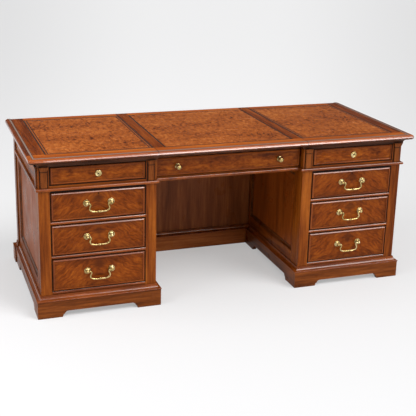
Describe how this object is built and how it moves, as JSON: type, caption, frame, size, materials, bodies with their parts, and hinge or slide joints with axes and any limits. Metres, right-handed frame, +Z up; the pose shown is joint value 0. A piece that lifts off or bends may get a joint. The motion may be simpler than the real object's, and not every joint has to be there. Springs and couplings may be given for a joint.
{
  "type": "pedestal desk",
  "caption": "Mahogany pedestal desk with a burl-panelled top in sections, a kneehole between drawer pedestals, bracket plinths, brass bail pulls, knobs and turning locks.",
  "frame": {"origin": "on the floor under the middle of the desk", "axes": "+X along the desk to the sitter's right as seen from the front, front with the drawers towards -Y, +Z up"},
  "size_m": [1.88, 0.81, 0.75],
  "materials": {
    "mahogany": "satin polish",
    "crossbanding": "satin polish",
    "burl": "satin polish",
    "secondary_wood": "bare planed wood",
    "brass": "aged polish"
  },
  "bodies": {
    "carcass": {"top_left": "crossbanding", "top_centre": "crossbanding", "top_right": "crossbanding", "top_cove": "mahogany", "face_frame_left": "mahogany", "face_frame_right": "mahogany", "side_frames_outer": "mahogany", "side_frames_inner": "mahogany", "side_panels": "mahogany", "panel_mouldings": "mahogany", "waist_moulding": "mahogany", "pilaster_blocks": "mahogany", "plinths": "mahogany", "plinth_caps": "mahogany", "back_frame": "mahogany", "back_panels": "mahogany", "back_plinth": "mahogany", "modesty_panel": "mahogany", "modesty_plinth": "mahogany", "centre_rails": "mahogany", "top_fields": "burl", "bottom_boards": "secondary_wood", "drawer_runners": "secondary_wood", "centre_runners": "secondary_wood"},
    "drawer_left_low": {"front_left_low": "mahogany", "box_left_low": "secondary_wood", "posts_left_low": "brass"},
    "pull_left_low": {"bail_left_low": "brass"},
    "drawer_left_mid": {"front_left_mid": "mahogany", "box_left_mid": "secondary_wood", "posts_left_mid": "brass"},
    "pull_left_mid": {"bail_left_mid": "brass"},
    "drawer_left_high": {"front_left_high": "mahogany", "box_left_high": "secondary_wood", "posts_left_high": "brass"},
    "pull_left_high": {"bail_left_high": "brass"},
    "drawer_left_frieze": {"front_left_frieze": "mahogany", "box_left_frieze": "secondary_wood", "lock_left": "brass"},
    "plug_left": {"lock_plug_left": "brass"},
    "drawer_right_low": {"front_right_low": "mahogany", "box_right_low": "secondary_wood", "posts_right_low": "brass"},
    "pull_right_low": {"bail_right_low": "brass"},
    "drawer_right_mid": {"front_right_mid": "mahogany", "box_right_mid": "secondary_wood", "posts_right_mid": "brass"},
    "pull_right_mid": {"bail_right_mid": "brass"},
    "drawer_right_high": {"front_right_high": "mahogany", "box_right_high": "secondary_wood", "posts_right_high": "brass"},
    "pull_right_high": {"bail_right_high": "brass"},
    "drawer_right_frieze": {"front_right_frieze": "mahogany", "box_right_frieze": "secondary_wood", "lock_right": "brass"},
    "plug_right": {"lock_plug_right": "brass"},
    "drawer_centre": {"front_centre": "mahogany", "box_centre": "secondary_wood", "knobs_centre": "brass"}
  },
  "joints": [
    {"name": "slide_left_low", "type": "slide", "parent": "carcass", "child": "drawer_left_low", "axis": [0, -1, 0], "range_m": [0, 0.43]},
    {"name": "swing_left_low", "type": "hinge", "parent": "drawer_left_low", "child": "pull_left_low", "pos_m": [-0.631, -0.3815, 0.205], "axis": [-1, 0, 0], "range_deg": [0, 95]},
    {"name": "slide_left_mid", "type": "slide", "parent": "carcass", "child": "drawer_left_mid", "axis": [0, -1, 0], "range_m": [0, 0.43]},
    {"name": "swing_left_mid", "type": "hinge", "parent": "drawer_left_mid", "child": "pull_left_mid", "pos_m": [-0.631, -0.3815, 0.371], "axis": [-1, 0, 0], "range_deg": [0, 95]},
    {"name": "slide_left_high", "type": "slide", "parent": "carcass", "child": "drawer_left_high", "axis": [0, -1, 0], "range_m": [0, 0.43]},
    {"name": "swing_left_high", "type": "hinge", "parent": "drawer_left_high", "child": "pull_left_high", "pos_m": [-0.631, -0.3815, 0.527], "axis": [-1, 0, 0], "range_deg": [0, 95]},
    {"name": "slide_left_frieze", "type": "slide", "parent": "carcass", "child": "drawer_left_frieze", "axis": [0, -1, 0], "range_m": [0, 0.43]},
    {"name": "turn_lock_left", "type": "hinge", "parent": "drawer_left_frieze", "child": "plug_left", "pos_m": [-0.631, -0.365, 0.6615], "axis": [0, -1, 0], "range_deg": [0, 90]},
    {"name": "slide_right_low", "type": "slide", "parent": "carcass", "child": "drawer_right_low", "axis": [0, -1, 0], "range_m": [0, 0.43]},
    {"name": "swing_right_low", "type": "hinge", "parent": "drawer_right_low", "child": "pull_right_low", "pos_m": [0.631, -0.3815, 0.205], "axis": [-1, 0, 0], "range_deg": [0, 95]},
    {"name": "slide_right_mid", "type": "slide", "parent": "carcass", "child": "drawer_right_mid", "axis": [0, -1, 0], "range_m": [0, 0.43]},
    {"name": "swing_right_mid", "type": "hinge", "parent": "drawer_right_mid", "child": "pull_right_mid", "pos_m": [0.631, -0.3815, 0.371], "axis": [-1, 0, 0], "range_deg": [0, 95]},
    {"name": "slide_right_high", "type": "slide", "parent": "carcass", "child": "drawer_right_high", "axis": [0, -1, 0], "range_m": [0, 0.43]},
    {"name": "swing_right_high", "type": "hinge", "parent": "drawer_right_high", "child": "pull_right_high", "pos_m": [0.631, -0.3815, 0.527], "axis": [-1, 0, 0], "range_deg": [0, 95]},
    {"name": "slide_right_frieze", "type": "slide", "parent": "carcass", "child": "drawer_right_frieze", "axis": [0, -1, 0], "range_m": [0, 0.43]},
    {"name": "turn_lock_right", "type": "hinge", "parent": "drawer_right_frieze", "child": "plug_right", "pos_m": [0.631, -0.365, 0.6615], "axis": [0, 1, 0], "range_deg": [0, 90]},
    {"name": "slide_centre", "type": "slide", "parent": "carcass", "child": "drawer_centre", "axis": [0, -1, 0], "range_m": [0, 0.3]}
  ]
}
